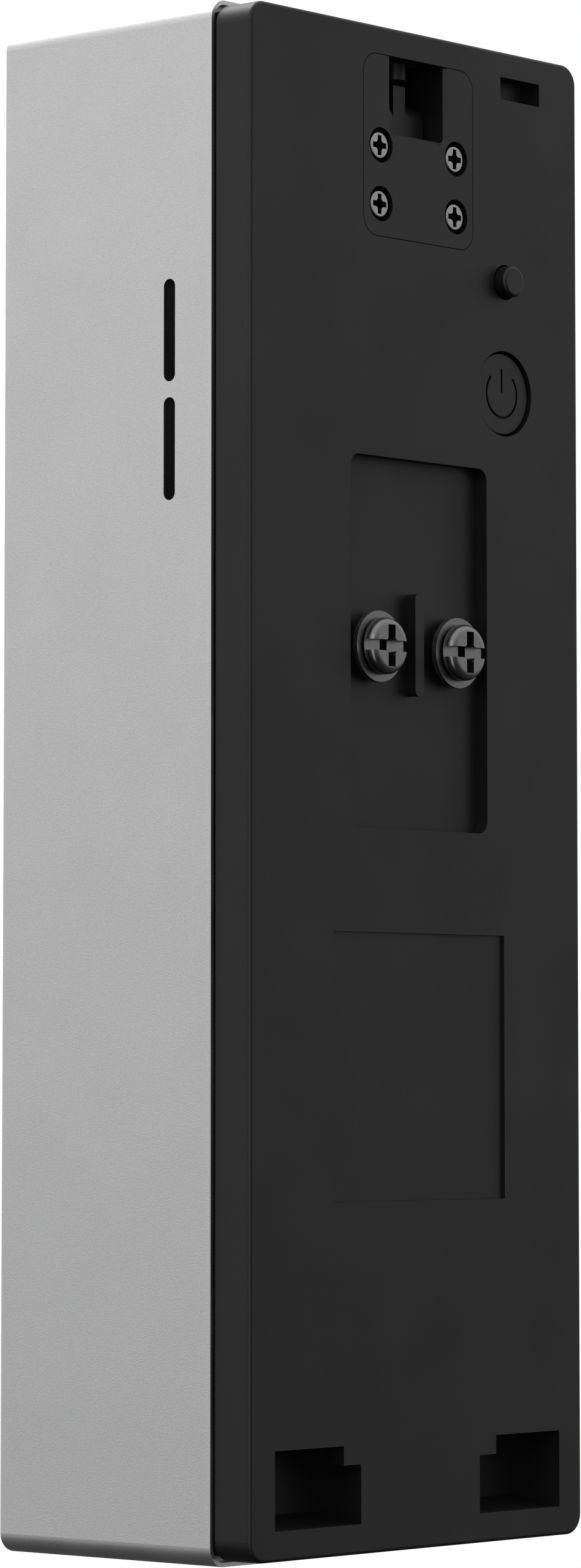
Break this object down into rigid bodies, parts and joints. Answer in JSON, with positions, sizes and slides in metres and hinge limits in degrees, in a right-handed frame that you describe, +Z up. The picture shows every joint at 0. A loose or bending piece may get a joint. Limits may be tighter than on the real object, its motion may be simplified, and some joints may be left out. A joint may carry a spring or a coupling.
{
  "type": "video doorbell",
  "caption": "Slim video doorbell in an aluminium sleeve: front camera and chime button, back with a sprung latch, hook pockets, wire terminals, power button and tamper plunger.",
  "frame": {"origin": "centre of the rear cover's flat back face, which lies in the XZ plane", "axes": "+Y out of the back towards the wall, +Z up, -Y the way the camera and chime button look; +X is the side with the speaker slots"},
  "size_m": [0.0542, 0.0369, 0.1614],
  "materials": {
    "sleeve_aluminium": "fine bead-blasted and clear anodised",
    "cover_black": "moulded with a fine satin texture",
    "chassis_black": "moulded",
    "panel_gloss": "polished black",
    "seal_rubber": "moulded silicone",
    "screw_steel": "plated",
    "terminal_steel": "black nickel plated",
    "spring_steel": "drawn wire",
    "post_brass": "turned",
    "switch_black": "moulded",
    "barrel_black": "black anodised",
    "board_green": "solder mask",
    "ribbon_amber": "polyimide film",
    "battery_foil": "pouch cells in shrink film",
    "lead_red": "silicone insulation",
    "mesh_black": "woven acoustic mesh",
    "can_steel": "tinned sheet",
    "lens_glass": "coated optical glass",
    "window_glass": "smoked cover glass",
    "bezel_black": "satin black",
    "led_clear": "clear resin",
    "lens_white": "translucent white"
  },
  "bodies": {
    "housing": {"sleeve": "sleeve_aluminium", "rear_cover": "cover_black", "rear_seal": "seal_rubber", "front_panel": "panel_gloss", "front_seal": "seal_rubber", "chassis": "chassis_black", "chassis_screws": "screw_steel", "latch_cover": "cover_black", "latch_screws": "screw_steel", "latch_spring": "spring_steel", "tamper_spring": "spring_steel", "tamper_switch": "switch_black", "power_switch": "switch_black", "terminal_posts": "post_brass", "rear_board": "board_green", "rear_board_screws": "screw_steel", "board_link": "switch_black", "battery_pack": "battery_foil", "battery_lead": "lead_red", "battery_plug": "switch_black", "speaker": "switch_black", "speaker_cone": "seal_rubber", "speaker_seal": "seal_rubber", "speaker_mesh": "mesh_black", "main_board": "board_green", "main_board_screws": "screw_steel", "shield_can": "can_steel", "camera_board": "board_green", "image_sensor": "switch_black", "lens_holder": "chassis_black", "lens_barrel": "barrel_black", "lens_element": "lens_glass", "lens_baffle": "chassis_black", "ir_board": "board_green", "ir_leds": "led_clear", "camera_bezel": "bezel_black", "camera_window": "window_glass", "camera_flex": "ribbon_amber", "pir_sensor": "can_steel", "pir_lens": "lens_white", "microphone": "can_steel", "mic_boot": "seal_rubber", "board_leds": "led_clear", "status_light_pipe": "lens_white", "antenna": "ribbon_amber", "button_light_ring": "lens_white", "button_guide": "chassis_black", "button_spring": "spring_steel", "chime_switch": "switch_black"},
    "chime_button": {"chime_button": "panel_gloss", "chime_switch_plunger": "switch_black"},
    "power_button": {"power_button": "cover_black", "power_switch_plunger": "switch_black"},
    "tamper_plunger": {"tamper_plunger": "cover_black"},
    "latch_slider": {"latch_slider": "cover_black"},
    "terminal_washer_left": {"terminal_washer_left": "terminal_steel"},
    "terminal_screw_left": {"terminal_screw_left": "terminal_steel"},
    "terminal_washer_right": {"terminal_washer_right": "terminal_steel"},
    "terminal_screw_right": {"terminal_screw_right": "terminal_steel"}
  },
  "joints": [
    {"name": "chime_press", "type": "slide", "parent": "housing", "child": "chime_button", "axis": [0, 1, 0], "range_m": [0, 0.0006], "stiffness_N_per_m": 800, "springref_m": -0.002, "deforming": ["button_spring"]},
    {"name": "power_press", "type": "slide", "parent": "housing", "child": "power_button", "axis": [0, -1, 0], "range_m": [0, 0.0004], "stiffness_N_per_m": 1500, "springref_m": -0.0005},
    {"name": "tamper_press", "type": "slide", "parent": "housing", "child": "tamper_plunger", "axis": [0, -1, 0], "range_m": [0, 0.0014], "stiffness_N_per_m": 300, "springref_m": -0.001, "deforming": ["tamper_spring"]},
    {"name": "latch_slide", "type": "slide", "parent": "housing", "child": "latch_slider", "axis": [0, 0, -1], "range_m": [0, 0.0024], "stiffness_N_per_m": 600, "springref_m": -0.002, "deforming": ["latch_spring"]},
    {"name": "terminal_lift_left", "type": "slide", "parent": "housing", "child": "terminal_washer_left", "axis": [0, 1, 0], "range_m": [0, 0.0015]},
    {"name": "terminal_turn_left", "type": "hinge", "parent": "terminal_washer_left", "child": "terminal_screw_left", "pos_m": [0.00642, 0, 0.01415], "axis": [0, 1, 0], "range_deg": [0, 1081]},
    {"name": "terminal_lift_right", "type": "slide", "parent": "housing", "child": "terminal_washer_right", "axis": [0, 1, 0], "range_m": [0, 0.0015]},
    {"name": "terminal_turn_right", "type": "hinge", "parent": "terminal_washer_right", "child": "terminal_screw_right", "pos_m": [-0.00642, 0, 0.01415], "axis": [0, 1, 0], "range_deg": [0, 1081]}
  ],
  "couplings": [
    {"joint": "terminal_turn_left", "follows": "terminal_lift_left", "rad_per_m": 12566},
    {"joint": "terminal_turn_right", "follows": "terminal_lift_right", "rad_per_m": 12566}
  ]
}
